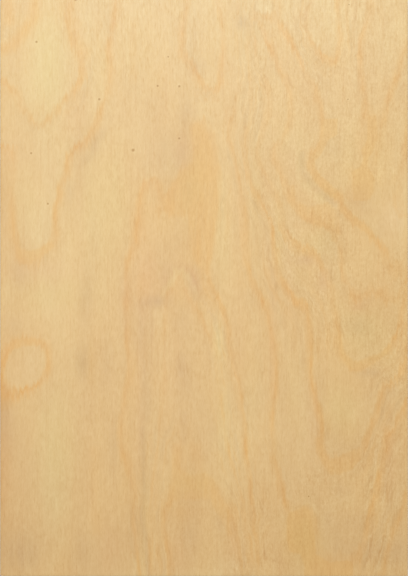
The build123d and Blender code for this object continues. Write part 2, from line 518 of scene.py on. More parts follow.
# Blocks of it that no line cuts
latewoodBlocks = {
    "pit": (3, 0.8, [
        (119, 126), (126, 126), (126.5, 108), (124, 100), (120, 95), (120, 87), (124.5, 81), (124, 70),
        (121, 64), (115, 62.5), (108.5, 63.5), (107.5, 74), (107.5, 85), (113, 87), (116, 95),
        (114.5, 100), (118.5, 108),
    ]),
    "insideKnob": (3, 0.9, [
        (86, 123), (97, 123), (97.5, 111), (91, 108), (87.5, 101), (84.5, 96), (81, 92), (76.5, 94),
        (80.5, 100), (84.5, 108),
    ]),
    "insideBend": (3, 0.85, [
        (75, 93), (81, 93), (82, 86), (87, 80), (93, 75), (99, 70), (103, 63), (99, 62), (92, 66),
        (84, 73), (79, 79), (75, 87),
    ]),
    "insideFoot": (3, 0.7, [
        (98, 62), (103, 58.5), (112, 51), (120, 45), (124, 39), (127, 34), (125, 32), (121, 36),
        (116, 40.5), (109, 45.5), (102, 51), (97, 57),
    ]),
    "ridge": (4, 0.6, [
        (60, 76), (67, 75), (68, 63), (78, 59.5), (90, 63), (97, 58), (99, 50), (100, 42), (97, 31),
        (92, 34), (91, 41.5), (82, 45), (73, 48), (67, 54), (60, 62),
    ]),
    "secondBend": (4, 0.55, [
        (57, 3), (62, -2), (69, -6), (75, -8), (77, -16), (75, -23), (71, -18), (64, -13), (57, -6),
    ]),
    "thirdFoot": (4, 0.75, [
        (98, -38), (100.5, -38), (102.5, -47), (107, -51), (112, -53.5), (119, -50), (128, -47.5),
        (133, -42), (137, -41), (135, -47.5), (129, -52.5), (121, -57.5), (114, -62), (106, -61.5),
        (101, -54.5), (98, -48),
    ]),
    "secondFoot": (4, 0.65, [
        (80, -106), (86, -110), (89, -121), (92, -124), (98, -123), (104, -119), (110, -117),
        (115, -117), (114, -126), (108, -133), (98, -137), (91, -136), (85, -127), (80, -118),
    ]),
    "firstFoot": (4, 0.9, [
        (60, -168), (62, -163), (68, -162), (73, -158), (77, -162), (79, -170), (81, -182), (82, -194),
        (92, -200), (104, -198), (109, -200), (109, -213), (72, -213), (73, -204), (70, -194),
        (62, -193), (60, -184),
    ]),
    "flameFoot": (6, 0.6, [
        (-23, -112), (-18, -112), (-17, -130), (-10, -136), (0, -134), (6, -136), (10, -142),
        (12, -150), (20, -160), (23, -182), (17, -182), (10, -166), (3, -155), (-12, -156),
        (-22, -156), (-27, -168), (-28, -158), (-24, -140),
    ]),
    "hookFoot": (4, 0.6, [
        (86, 170), (95, 170), (96, 160), (88, 159),
    ]),
    "tongueFoot": (4, 0.75, [
        (-137.5, 30), (-133, 28.5), (-126, 27.5), (-120, 29), (-111, 34), (-108, 30), (-114, 25),
        (-121, 20), (-126, 16.5), (-133, 16.5), (-136.5, 21),
    ]),
    "islandTop": (4, 0.75, [
        (-142, -40), (-132, -36), (-117, -37), (-116, -42), (-131, -43.5), (-142, -46),
    ]),
}

# Fainter strokes off the ring lines, of latewood here and of other tones below: half width, strength and
# points along
latewoodStrokes = [
    (4, 0.7, [(-122, 212), (-123.5, 203), (-124, 196), (-128.5, 190), (-132, 185), (-136, 180.5),
              (-140, 176), (-150, 173)]),
    (3.5, 0.7, [(-143, 212), (-142, 203), (-142, 194)]),
    (5, 0.6, [(-98, 212), (-98.5, 200), (-96, 190), (-94, 180), (-90, 170)]),
    (2.5, 0.35, [(-51, 192), (-51, 172), (-51, 152)]),
    (2.5, 0.2, [(-80, -118), (-80, -150), (-79, -178)]),
    (2, 0.5, [(132.7, -102), (132.6, -111), (132.4, -120)]),
    (4, 0.3, [(-6, -117), (-5, -124), (-3, -132)]),
    (2.5, 0.25, [(144, 20), (146.5, 35), (147.5, 45), (144, 60), (142, 74), (145, 95), (147, 110)]),
]
toneStrokes = {
    "greyWood": [
        (3, 0.55, [(-45, -12), (-44, -40), (-42.5, -70), (-43, -96)]),
        (1.7, 0.9, [(-44.5, -102), (-43.5, -125), (-43.5, -148), (-46, -165), (-43, -180), (-41.5, -195),
                    (-40, -212)]),
        (3, 0.5, [(-85, 93), (-80, 104), (-75, 112)]),
        (2.5, 0.5, [(-17, -50), (-17, -62)]),
        (2.5, 0.45, [(-14.5, -92), (-14.5, -112)]),
        (1.8, 0.8, [(71, 97), (71, 88), (74, 81), (78, 75.5), (84, 70), (90, 65), (95, 61)]),
    ],
    "paleWood": [
        (3, 0.5, [(-103, -182), (-108, -195), (-114, -210)]),
        (3, 0.5, [(-103, -182), (-98, -191), (-93, -202)]),
        (2, 0.7, [(65, 92), (68.5, 80), (74, 73), (80, 67.5), (86, 63.5), (92, 60), (97, 56), (101, 50),
                  (106, 43)]),
    ],
}

# Soft zones of tone: the most that they add up to, then the x, y, reach across, reach along and
# strength of each
toneZones = {
    "greyWood": (1.5, [
        (-88, -54, 6, 13, 1.0), (27.5, 193, 4, 5, 1.0), (-25, 95, 14, 22, 0.5), (-90, 95, 9, 32, 0.5),
        (-56, -15, 6, 45, 0.4), (-10, 178, 10, 28, 0.5), (50, 162, 6, 14, 0.4), (95, 52, 16, 20, 0.35),
        (112, 66, 12, 8, 0.4), (88, 5, 6, 9, 0.5), (73, 20, 7, 3.5, 0.6), (112, -10, 8, 6, 0.3),
        (104, -122, 13, 14, 0.5), (95, -172, 9, 14, 0.6), (-66, -115, 5, 28, 0.5), (-15, -65, 7, 18, 0.5),
        (-146, -96, 7, 20, 1.1), (-148, 75, 5, 45, 0.6), (-134, -194, 16, 15, 1.1),
        (-88, -190, 9, 16, 0.5), (-10, -165, 12, 20, 0.3), (130, -193, 24, 12, 0.9),
        (-86, -8, 5, 24, 0.7), (118, 130, 8, 30, 0.3), (-14, 126, 6, 12, 0.9), (-4, 160, 7, 8, 0.6),
        (72, 48, 8, 6, 0.3), (92, 28, 12, 16, 0.6), (-5, -4, 4, 8, 0.4), (86, -70, 4, 24, 0.3),
        (110, -28, 10, 8, 0.6), (-78, 106, 5, 10, 0.5), (-99, 68, 3, 10, 0.5), (-20, 30, 6, 16, 0.3),
        (36, -8, 9, 10, 0.4), (-84, 150, 5, 16, 0.4), (-34, 133, 8, 14, 0.4), (-26, 68, 6, 10, 0.4),
        (-30, 20, 8, 18, 0.4), (-10, 5, 5, 8, 0.5), (-35, -10, 9, 4.5, 1.2), (104, 0, 6, 8, 0.6),
        (116, 56, 7, 10, 0.3), (-138, -28, 7, 10, 0.6), (100, -190, 9, 12, 0.5), (-50, -180, 6, 16, 0.5),
        (-10, -182, 7, 14, 0.5), (13, -172, 5, 8, 0.5), (-94, 103, 6, 8, 0.3), (-149, -150, 6, 80, 0.6),
        (93, 100, 6, 6, 0.3), (121, -62, 9, 3, 0.8), (-134, 10, 6, 10, 0.6), (-16, -25, 6, 12, 0.5),
        (-71, -50, 6, 18, 0.4), (-80, 30, 5, 26, 0.3), (-15, 98, 5, 16, 0.4), (8, 5, 5, 16, 0.3),
        (128, 40, 5, 12, 0.4), (36, -150, 5, 22, 0.3), (118, -178, 8, 14, 0.4), (136, -76, 7, 10, 0.4),
        (2, 140, 8, 5, 0.4), (-73, 122, 4, 14, 0.4), (-68, 188, 4, 14, 0.4), (58, -150, 4, 18, 0.4),
        (100, -148, 7, 7, 0.6), (110, -170, 8, 8, 0.5),
    ]),
    "paleWood": (1.8, [
        (-116, 170, 22, 40, 1.0), (-118, 55, 9, 42, 0.9), (-101, 25, 9, 52, 1.0),
        (-114, -12, 13, 24, 0.9), (-110, -112, 11, 52, 1.0), (-123, -54, 9, 12, 0.9),
        (40, 115, 7, 16, 0.4), (66, 115, 8, 24, 0.7), (138, 48, 9, 11, 1.7), (146, 45, 7, 36, 1.0),
        (141, 70, 8, 26, 0.5), (147, 130, 6, 60, 0.5), (140, 190, 12, 16, 0.6), (128, 172, 11, 24, 0.8),
        (25, -95, 17, 46, 0.8), (70, -100, 8, 40, 0.8), (8, -35, 5, 15, 0.4), (108, -90, 14, 14, 0.8),
        (125, -30, 12, 7, 0.3), (45, 206, 8, 7, 0.9), (95, 195, 16, 18, 0.6), (-82, 195, 8, 16, 0.6),
        (-75, 60, 14, 40, 0.4), (-75, -158, 5, 12, 0.6), (17, 40, 7, 45, 0.4), (-30, -36, 6, 18, 0.8),
        (-58, 175, 10, 32, 0.4), (55, 207, 24, 8, 0.6), (97, 96, 5, 6, 0.5), (-18, -5, 4, 14, 0.4),
        # the first two zones on the next line, along the lower end of the face, are a painted highlight: a
        # pale strip where the lower arris catches the light
        (0, -211, 220, 2.6, 0.6), (-15, -211, 60, 4, 0.8), (-124, 42, 9, 22, 0.8), (-55, 18, 4, 12, 0.6),
        (-6, 46, 5, 8, 0.4), (64, 100, 8, 8, 0.5), (15, -110, 6, 36, 0.7), (38, -75, 9, 9, 0.4),
        (49, -110, 4, 22, 0.7), (-34, -112, 4, 12, 0.7), (-108, -165, 10, 22, 0.9), (83, -140, 4, 9, 0.6),
        (-118, 142, 14, 14, 0.5), (-99, 100, 6, 12, 0.5), (-45, -203, 9, 8, 0.6), (20, -204, 10, 8, 0.7),
        (36, -187, 4, 9, 0.5), (126, -145, 5, 20, 0.4), (-80, 25, 18, 60, 0.2), (12, 35, 4, 34, 0.2),
        (11, -35, 4, 12, 0.6), (-114, 98, 8, 26, 0.6), (-116, -118, 10, 30, 0.4), (12, -207, 18, 6, 0.7),
        (84, -88, 5, 8, 0.5), (104, -25, 6, 18, 0.5), (-50, 20, 5, 14, 0.4), (102, -155, 8, 6, 0.6),
        (60, -170, 8, 16, 0.4), (-74, 128, 5, 10, 0.4), (-143, 2, 5, 12, 0.5), (-145, -65, 5, 8, 0.6),
        (104, 202, 8, 10, 0.5), (-48, -3, 5, 8, 0.4), (-88, 152, 4, 6, 0.8), (72, -204, 6, 8, 0.5),
        (-31, -140, 3, 22, 0.4), (-34, -192, 5, 12, 0.4), (-75, 157, 5, 12, 0.4), (10, -38, 4, 20, 0.9),
        (-34, -20, 5, 8, 0.6), (64, 34, 5, 7, 0.7), (105, -54, 5, 6, 0.6), (131, -48, 9, 5, 0.7),
        (92, 46, 8, 4, 0.5),
    ]),
    "warmWood": (1.3, [
        (-25, 30, 32, 52, 0.4), (-7, 30, 6, 22, 0.8), (-4, -10, 6, 18, 0.7), (-32, 74, 14, 6, 0.6),
        (-15, 112, 8, 24, 0.9), (-60, 25, 4, 22, 0.4), (-56, -130, 6, 34, 0.8), (-80, -60, 8, 30, 0.4),
        (-50, -68, 3, 28, 0.5), (-15, -162, 10, 8, 0.6), (60, -184, 4, 16, 0.6), (69, -15, 4, 12, 0.6),
        (43, -3, 5, 15, 0.5), (110, -9, 7, 5, 0.7), (88, -98, 5, 14, 0.5), (30, -60, 5, 20, 0.35),
        (0, 165, 12, 26, 0.5), (-82, 110, 6, 8, 0.5), (-122, 128, 10, 6, 0.4), (-12, -112, 9, 18, 0.5),
        (-148, 82, 9, 18, 0.4), (-148, -140, 7, 70, 1.0), (-81.5, -55, 2.5, 16, 0.6),
        (-142, 143, 8, 8, 0.5), (27, 80, 5, 14, 0.4), (22, 130, 4, 20, 0.3), (48, 160, 9, 24, 0.3),
        (148, -60, 4, 60, 0.4), (-40, -165, 4, 14, 0.5), (-75, -160, 5, 16, 0.5), (-85, -50, 7, 14, 0.4),
        (-15, -55, 8, 16, 0.4), (25, -75, 4, 30, 0.5), (43, 56, 6, 12, 0.3), (-28, 135, 10, 20, 0.5),
        (92, 165, 8, 12, 0.4), (136, 146, 5, 8, 0.4), (-150, 0, 3, 220, 0.7), (45, -28, 4, 22, 0.4),
        (18, -165, 6, 12, 0.4), (-42, -2, 12, 12, 0.5), (0, 60, 5, 30, 0.3), (0, 104, 5, 14, 0.5),
        (-22, 62, 16, 18, 0.5), (3, 0, 5, 14, 0.6), (-94, 101, 8, 6, 0.6), (84, 46, 14, 7, 0.6),
        (63, 67, 8, 8, 0.5), (-17, -166, 6, 12, 0.5), (-49, -175, 3, 14, 0.5), (8, -75, 14, 32, 0.25),
        (130, -11, 8, 4, 0.4), (111, -13, 8, 7, 0.6), (148, 108, 3, 20, 0.5), (148, 0, 4, 12, 0.8),
        (-68, 170, 12, 26, 0.2), (-148, -76, 4, 8, 1.2), (-110, 203, 8, 8, 0.4), (-18, -4, 6, 9, 0.6),
    ]),
    "rosyWood": (1.3, [
        (-42, 8, 12, 28, 1.0), (-46, -90, 4, 62, 0.6), (-8, 1, 4, 10, 1.0), (-91, 60, 4, 38, 0.5),
        (115, -10, 12, 9, 0.5), (138, 50, 9, 13, 0.9), (-15, 98, 6, 14, 0.8), (-58, -5, 3, 26, 0.6),
        (24, -40, 6, 30, 0.3), (-140, 98, 12, 12, 0.5), (-118, 12, 24, 8, 0.5), (-128, -58, 18, 16, 0.3),
        (50, -30, 2.5, 62, 0.5), (-146, -125, 6, 44, 0.5), (-70, -190, 9, 15, 0.4),
        (-18, -196, 8, 14, 0.4), (22, -190, 5, 18, 0.4), (-22, -60, 10, 32, 0.3), (62, 5, 4, 26, 0.4),
        (74, 20, 8, 4, 0.9), (87, 5, 4, 9, 0.8), (111, -14, 6, 4, 0.8), (80, -95, 4, 26, 0.5),
        (-130, 205, 18, 8, 0.4), (-95, 125, 10, 14, 0.4), (64, 100, 4, 20, 0.4), (108, 150, 14, 30, 0.3),
        (134, -120, 5, 40, 0.4),
    ]),
    "strawWood": (1.3, [
        (-113, 160, 13, 42, 1.0), (-8, 75, 12, 30, 0.7), (-108, -122, 14, 50, 0.9),
        (117, -31, 17, 20, 0.9), (-80, 60, 18, 50, 0.6), (-75, 165, 10, 30, 0.3), (14, -95, 6, 34, 0.4),
        (-48, 165, 14, 30, 0.3), (36, -70, 7, 30, 0.3), (-130, 60, 9, 24, 0.3), (30, 185, 12, 22, 0.3),
        (-112, -5, 30, 12, 0.5), (66, -70, 6, 30, 0.3), (-10, -142, 16, 8, 0.5), (100, -90, 12, 20, 0.3),
        (38, 70, 5, 40, 0.5), (54, 40, 5, 30, 0.5), (68, 10, 6, 16, 0.4), (86, 33, 12, 10, 0.7),
        (13, 40, 6, 44, 0.5), (11, -38, 4, 14, 0.5), (108, 95, 26, 34, 0.3), (-63, 70, 8, 40, 0.4),
        (72, -184, 12, 22, 0.9), (-89, -54, 8, 14, 0.4), (-44, -150, 3, 60, 0.6), (62, 108, 12, 14, 0.4),
        (71, 90, 3, 8, 0.7), (77, 76, 5, 5, 0.6), (88, 67, 6, 4, 0.7), (100, -90, 14, 20, 0.4),
    ]),
    # a pale, jagged edge that follows the ring line, with darker rosy wood beyond it
    "paleEdge": (1.0, [
        (-22, 3, 10, 14, 1.0), (-10, 3, 9, 14, 1.0), (2, -24, 6, 12, 0.4),
    ]),
    # scuffed spots by the upper left corner
    "scuffedWood": (1.0, [
        (-142, 190, 4, 9, 1.0), (-145, 181, 4, 5, 0.8),
    ]),
}

# Pin knots, a millimetre or so across: x, y and half width
pinKnots = [
    (-122, 178.8, 0.8), (-93.5, 209.5, 0.9), (-76.2, 137.1, 0.8), (-26, 168, 0.6), (-33.7, 146.8, 0.7),
    (-18, 146.5, 0.8), (-51.6, 100, 1.05), (-18, 108.6, 0.7), (-125.8, 97.8, 0.7), (-113.6, 61, 0.7),
    (105.6, 206, 0.5), (104.8, 137, 0.5), (76.2, -152, 0.5),
]

figureDetail = {
    "pointSpacing": 4.5,    # along the ring lines
    "rounding": 4.0,        # how gently the rings bend where they meet
    "lineReach": 3.0,       # how soon one strength gives way to the next
    "fleckReach": 15.0,
    "leastSlope": 0.02,     # rings per millimetre
    "strokeSpacing": 3.0,   # along the strokes
    "batch": 4000,          # points worked out at once
}


def smoothLine(points, spacing):
    # a rounded line through given points, at even steps
    given = np.array(points, float)
    closed = np.allclose(given[0], given[-1])
    if closed:
        ends = np.vstack([given[-2], given, given[1]])
    else:
        ends = np.vstack([2 * given[0] - given[1], given, 2 * given[-1] - given[-2]])
    line = []
    for before, here, after, beyond in zip(ends, ends[1:], ends[2:], ends[3:]):
        steps = max(1, round(math.dist(here, after) / spacing))
        for step in range(steps):
            t = step / steps
            line.append(0.5 * (2 * here + (after - before) * t
                               + (2 * before - 5 * here + 4 * after - beyond) * t ** 2
                               + (3 * here - before - 3 * after + beyond) * t ** 3))
    if not closed:
        line.append(given[-1])
    return np.array(line)


def ringKnown():
    places, numbers = [], []
    for number, points in ringLines.values():
        line = smoothLine(points, figureDetail["pointSpacing"])
        places.append(line)
        numbers.append(np.full(len(line), float(number)))
    for known in ringPlaces.values():
        known = np.array(known, float)
        places.append(known[:, :2])
        numbers.append(known[:, 2])
    return np.vstack(places), np.concatenate(numbers)


def ringField(points):
    # the ring number everywhere, and how fast it changes across and along the grain
    places, numbers = ringKnown()
    count = len(places)

    def reach(a, b):
        apart = a[:, None] - b[None]
        return apart, np.sqrt((apart ** 2).sum(-1) + figureDetail["rounding"] ** 2)

    table = np.ones((count + 1, count + 1))
    table[:count, :count] = reach(places, places)[1]
    table[count, count] = 0
    weights = np.linalg.solve(table, np.append(numbers, 0.0))
    number = np.empty(len(points))
    slope = np.empty((len(points), 2))
    for start in range(0, len(points), figureDetail["batch"]):
        part = slice(start, start + figureDetail["batch"])
        apart, far = reach(points[part], places)
        number[part] = far @ weights[:-1] + weights[-1]
        slope[part] = ((apart / far[..., None]) * weights[:-1, None]).sum(1)
    return number, slope


def strengthAt(points, places, reach):
    # a weighted mean of the strengths at the places round each point
    known = np.array(places, float)
    total = np.zeros(len(points))
    share = np.zeros(len(points))
    for x, y, strength in known:
        near = 1 / ((points[:, 0] - x) ** 2 + (points[:, 1] - y) ** 2 + reach ** 2) ** 2
        total += near * strength
        share += near
    return total / share


def farFromLine(points, line):
    # distance of each point from a line of straight runs
    nearest = np.full(len(points), 1e9)
    for start, end in zip(line, line[1:]):
        run = end - start
        t = np.clip(((points - start) @ run) / max(run @ run, 1e-9), 0, 1)
        nearest = np.minimum(nearest, np.linalg.norm(points - start - t[:, None] * run, axis=1))
    return nearest


def insideOutline(points, outline):
    inside = np.zeros(len(points), bool)
    for (x0, y0), (x1, y1) in zip(outline, np.roll(outline, -1, axis=0)):
        if y0 == y1:
            continue
        spans = (points[:, 1] > min(y0, y1)) & (points[:, 1] <= max(y0, y1))
        crossing = x0 + (points[:, 1] - y0) * (x1 - x0) / (y1 - y0)
        inside ^= spans & (points[:, 0] < crossing)
    return inside


def smoothstep(t):
    t = np.clip(t, 0, 1)
    return t * t * (3 - 2 * t)


def patchCover(points, patches):
    cover = np.zeros(len(points))
    for soft, strength, outline in patches.values():
        outline = np.array(outline, float)
        far = farFromLine(points, np.vstack([outline, outline[:1]]))
        far = np.where(insideOutline(points, outline), far, -far)
        cover = np.maximum(cover, strength * smoothstep(0.5 + far / soft))
    return cover


def strokeCover(points, strokes):
    cover = np.zeros(len(points))
    for reach, strength, line in strokes:
        far = farFromLine(points, smoothLine(line, figureDetail["strokeSpacing"]))
        cover = np.maximum(cover, strength * smoothstep(1 - far / (2 * reach)))
    return cover


def zoneCover(points, zones):
    cover = np.zeros(len(points))
    for x, y, across, along, strength in zones:
        far = ((points[:, 0] - x) / across) ** 2 + ((points[:, 1] - y) / along) ** 2
        cover += strength * np.exp(-far)
    return cover


def figureOf(points):
    number, slope = ringField(points)
    print("rings run from", round(number.min(), 2), "to", round(number.max(), 2))
    figure = {
        "ringNumber": number,
        "ringSlope": np.maximum(np.linalg.norm(slope, axis=1), figureDetail["leastSlope"]),
        "ringSlopeAlong": slope[:, 1],
        "ringStrength": strengthAt(points, sum(ringStrengths.values(), []), figureDetail["lineReach"]),
        "fleckStrength": strengthAt(points, fleckStrengths, figureDetail["fleckReach"]),
        "latewoodPatch": patchCover(points, latewoodPatches),
        "latewoodBlock": patchCover(points, latewoodBlocks),
        "latewoodStroke": strokeCover(points, latewoodStrokes),
    }
    for name, (most, zones) in toneZones.items():
        cover = strokeCover(points, toneStrokes.get(name, [])) + zoneCover(points, zones)
        figure[name] = np.minimum(cover, most)
    return figure


# The sheet itself: both faces as fine grids, joined by nine plies that step in and out as their grain runs
sheetShape = {
    "cellSize": 2.0,
    "plyCount": 9,
    "faceVeneer": 1.1,      # the show face and the back, sanded thinner
    "coreVeneer": 1.4,
    "edgeWear": 0.1,        # a ply sands back this far where its grain runs along the edge
    "cornerRadius": 0.6,
    "cornerSteps": 3,
    "arrisRadius": 0.3,
    "arrisSteps": 4,
    "faceHollow": 0.04,     # how far the softer wood sinks below the latewood
    "hollowFrom": 1.0,      # it starts this far inside the rim
    "hollowFade": 6.0,      # and is whole this much further in
    "weldWithin": 0.02,
    "flatFrom": 0.3,        # normals that rise or fall more than this are the show face's or the back's
    "creaseAngle": 35,
}


def plyOutline(number):
    alongLength = number % 2 == 0
    sideWear = sheetShape["edgeWear"] if alongLength else 0
    endWear = 0 if alongLength else sheetShape["edgeWear"]
    return halfWidth - sideWear, halfLength - endWear


def plyBase(number):
    if number == 0:
        return 0.0
    return sheetShape["faceVeneer"] + (number - 1) * sheetShape["coreVeneer"]


def edgeLoops():
    # half width, half length and height of every loop down the edge, below the show face's own outline
    radius = sheetShape["arrisRadius"]
    steps = sheetShape["arrisSteps"]
    turns = [math.pi / 2 * step / steps for step in range(1, steps + 1)]
    wide, long = plyOutline(sheetShape["plyCount"] - 1)
    loops = []
    for turn in turns:
        inset = radius * (1 - math.sin(turn))
        loops.append((wide - inset, long - inset, thickness - radius * (1 - math.cos(turn))))
    for number in range(sheetShape["plyCount"] - 1, 0, -1):
        loops.append((*plyOutline(number), plyBase(number)))
        loops.append((*plyOutline(number - 1), plyBase(number)))
    for turn in reversed([0.0] + turns):
        inset = radius * (1 - math.sin(turn))
        loops.append((wide - inset, long - inset, radius * (1 - math.cos(turn))))
    return loops


def selectVerts(sheet, wanted):
    bpy.ops.mesh.select_mode(type="VERT")
    bpy.ops.mesh.select_all(action="DESELECT")
    mesh = bmesh.from_edit_mesh(sheet.data)
    for vert in mesh.verts:
        if wanted(vert):
            vert.select_set(True)
    mesh.select_flush(True)
    bmesh.update_edit_mesh(sheet.data)


def makeSheetMesh():
    radius = sheetShape["arrisRadius"]
    wide, long = plyOutline(sheetShape["plyCount"] - 1)
    flatX, flatY = wide - radius, long - radius
    cells = [round(2 * length / sheetShape["cellSize"]) for length in (flatX, flatY)]
    bpy.ops.object.select_all(action="DESELECT")
    bpy.ops.mesh.primitive_grid_add(x_subdivisions=cells[0], y_subdivisions=cells[1], size=2)
    sheet = bpy.context.object
    sheet.name = "birch_sheet"
    sheet.data.name = "birch_sheet"
    bpy.ops.object.mode_set(mode="EDIT")
    bpy.ops.transform.resize(value=(flatX * mm, flatY * mm, 1), center_override=(0, 0, 0))
    bpy.ops.transform.translate(value=(0, 0, thickness * mm))

    # the corners are rounded before the edge is drawn down from them
    selectVerts(sheet, lambda vert: len(vert.link_edges) == 2)
    bpy.ops.mesh.bevel(offset=(sheetShape["cornerRadius"] - radius / 2) * mm, affect="VERTICES",
                       segments=sheetShape["cornerSteps"])

    # the back is a copy of the show face, turned over
    bpy.ops.mesh.select_all(action="SELECT")
    bpy.ops.mesh.duplicate_move(TRANSFORM_OT_translate={"value": (0, 0, -thickness * mm)})
    bpy.ops.mesh.flip_normals()

    # the edge is drawn down loop by loop from the show face's outline to the back's
    selectVerts(sheet, lambda vert: vert.is_boundary and vert.co.z > thickness * mm / 2)
    now = (flatX, flatY, thickness)
    for loop in edgeLoops():
        bpy.ops.mesh.extrude_edges_move(TRANSFORM_OT_translate={"value": (0, 0, (loop[2] - now[2]) * mm)})
        bpy.ops.transform.resize(value=(loop[0] / now[0], loop[1] / now[1], 1), center_override=(0, 0, 0))
        now = loop
    bpy.ops.mesh.select_all(action="SELECT")
    bpy.ops.mesh.remove_doubles(threshold=sheetShape["weldWithin"] * mm)
    bpy.ops.mesh.normals_make_consistent(inside=False)
    bpy.ops.object.mode_set(mode="OBJECT")
    return sheet


def dressFace(sheet):
    # writes the figure onto the show face and its arris, and sinks the softer wood by a hair
    mesh = sheet.data
    places = np.empty(len(mesh.vertices) * 3)
    mesh.vertices.foreach_get("co", places)
    places = places.reshape(-1, 3) / mm
    onFace = places[:, 2] > thickness - sheetShape["arrisRadius"] - 0.001
    figure = figureOf(places[onFace, :2])
    for name, values in figure.items():
        whole = np.zeros(len(places), np.float32)
        whole[onFace] = values
        mesh.attributes.new(name=name, type="FLOAT", domain="POINT").data.foreach_set("value", whole)
    rise = figure["ringNumber"] % 1
    rim = np.minimum(plyOutline(0)[0] - abs(places[onFace, 0]), plyOutline(0)[1] - abs(places[onFace, 1]))
    inwards = smoothstep((rim - sheetShape["hollowFrom"]) / sheetShape["hollowFade"])
    hollow = (1 - rise ** 3) * inwards * sheetShape["faceHollow"]
    places[onFace, 2] -= hollow
    mesh.vertices.foreach_set("co", (places * mm).ravel())
    mesh.update()


# The show face: clear rotary-cut birch, sanded and satin
faceFinish = {
    "wood": (0.810, 0.499, 0.210, 1),
    "ringLine": (1.012, 0.896, 0.700),     # tints multiply the wood under them
    "ringCore": (0.975, 0.958, 0.945),
    "latewood": (1.007, 0.934, 0.782),
    "afterRing": (0.998, 1.012, 1.026),
    "throughRing": (1.0, 0.990, 0.978),
    "grey": (0.912, 0.898, 0.925),
    "pale": (1.028, 1.072, 1.124),
    "rosy": (0.997, 0.964, 1.004),
    "straw": (0.973, 1.006, 0.946),
    "paleEdge": (1.015, 1.060, 1.100),
    "beyondEdge": (0.960, 0.935, 0.960),
    "scuff": (1.06, 1.09, 1.16),
    "warm": (0.990, 0.944, 0.862),
    "mottle": (0.992, 0.970, 0.945),
    "cloud": (0.970, 0.962, 0.975),
    "vessel": (0.90, 0.83, 0.72),
    "pore": (0.945, 0.912, 0.86),
    "pin": (0.66, 0.51, 0.30),
    "pinHalo": (1.02, 1.05, 1.08),
    "flecks": 0.33,         # how far the short flecks and the longer streaks darken and lighten the wood
    "streaks": 0.16,
    "bands": 0.34,
    "bandWarm": (1.0, 0.955, 0.875),
    "bandGrey": (0.960, 0.965, 0.985),
    "threadDark": (0.940, 0.895, 0.840),
    "threadPale": (1.015, 1.040, 1.070),
    "grainTint": (0.66, 1.05, 1.70),    # the fibre shades blue the most and red the least
    "pinstripe": (0.94, 0.87, 0.80),
    "zoneFibre": 0.9,       # how streaky the edges of the soft zones are
    "curl": 1.2,            # how far the flecks stray sideways where the rings are steep
    "lineSoft": 6.0,        # the latewood fades in over this much of the ring before it
    "lineSharp": 4.2,       # and ends within this much of the next ring
    "lineThin": 0.68,       # both are this much narrower where the rings lie closest
    "ringSpan": 26.0,       # width that the bands along the rings give to one ring
    "wanderWavy": 1.5,      # the waves of the rings where they are steep, and their fibrous wander
    "wanderAcross": 0.9,
    "wanderAlong": 4.2,
    "teeth": 0.35,          # how ragged the latewood's edges are, and how much of that the blocks take
    "blockTeeth": 0.5,
    "uneven": (0.6, 1.4),   # a ring line's strength where it is broken and where it is whole
    "softPower": 1.7,
    "corePower": 3.0,
    "threadLeast": 0.2,     # what stays of a thread where it is broken
    "threadApart": 0.085,
    "patchHides": 0.85,     # a line hardly shows where it runs through a patch
    "blockMost": 0.8,       # the most that each of these takes from its tint
    "paleMost": 0.75,
    "pinstripeMost": 0.45,
    "vesselMost": 0.5,
    "lineRise": 0.3,        # shares of the relief
    "streakRise": 0.5,
    "poreDrop": 0.3,
    "relief": (0.25, 0.06), # strength, and depth in millimetres
    "roughness": (0.33, 0.46),
}

# Where each effect sets in and where it is whole
faceFades = {
    # by the slope, in rings per millimetre
    "waveSlope": (0.03, 0.08),
    "closeRings": (0.035, 0.08),
    "bandsStart": (0.015, 0.045),
    "bandsEnd": (0.10, 0.16),
    "steep": (0.015, 0.07),
    # by the strength of the flecks
    "waveFlecks": (0.95, 1.2),
    "strongFlecks": (0.8, 1.15),
    # by the millimetres from the ring line behind
    "paleAfter": (1.5, 14.0),
    "patchBehind": (12.0, 20.0),
    "edgeStart": (0.0, 0.8),
    "edgeEnd": (3.5, 6.0),
    "beyondStart": (4.0, 6.5),
    "beyondEnd": (9.0, 18.0),
    # by the cover of a patch
    "patchEdge": (0.1, 0.9),
    "blockEdge": (0.2, 0.8),
    # by a noise
    "brokenLine": (0.3, 0.7),
    "brokenThread": (0.35, 0.6),
    "thread": (0.01, 0.05),
    "slowTone": (0.35, 0.68),
    "bandWarm": (0.5, 0.7),
    "bandGrey": (0.5, 0.3),
    "pinstripe": (0.58, 0.7),
    "speck": (0.5, 0.65),
    "pore": (0.55, 0.7),
    "vessel": (0.56, 0.74),
    "sheen": (0.3, 0.8),
    # by half widths of a pin knot
    "pinSpot": (0.3, 1.7),
    "pinHalo": (1.3, 3.2),
}



# Noise of the show face: how far it stays alike across, along and through the wood, its detail and
# roughness, and a shift that keeps it apart from the others
faceNoise = {
    "wanderAcross": ((4.5, 16, 20), 3, 0.5, 3),
    "wanderAlong": ((1.7, 14, 20), 3, 0.5, 7),
    "waves": ((9, 8, 20), 1, 0.5, 61),
    "broken": ((6, 15, 20), 2, 0.5, 31),
    "teeth": ((2.6, 30, 20), 3, 0.6, 11),
    "mottle": ((15, 60, 20), 3, 0.5, 2),
    "cloud": ((30, 90, 20), 2, 0.5, 9),
    "curl": ((8, 11, 20), 1, 0.5, 21),
    "longFlecks": ((1.5, 4.5, 20), 2, 0.6, 5),
    "shortFlecks": ((1.4, 2.3, 20), 2, 0.66, 35),
    "streaks": ((1.6, 18, 20), 3, 0.55, 25),
    "vessels": ((0.9, 6, 20), 2, 0.55, 13),
    "bands": ((2.6, 16, 20), 2, 0.5, 0),
    "wideBands": ((5.5, 40, 20), 2, 0.5, 41),
    "threads": ((5, 60, 20), 1, 0.5, 81),
    "pores": ((0.28, 3.2, 20), 1, 0.5, 91),
    "pinstripes": ((1.1, 45, 20), 2, 0.5, 71),
    "specks": ((1.3, 2.2, 20), 1, 0.5, 51),
}


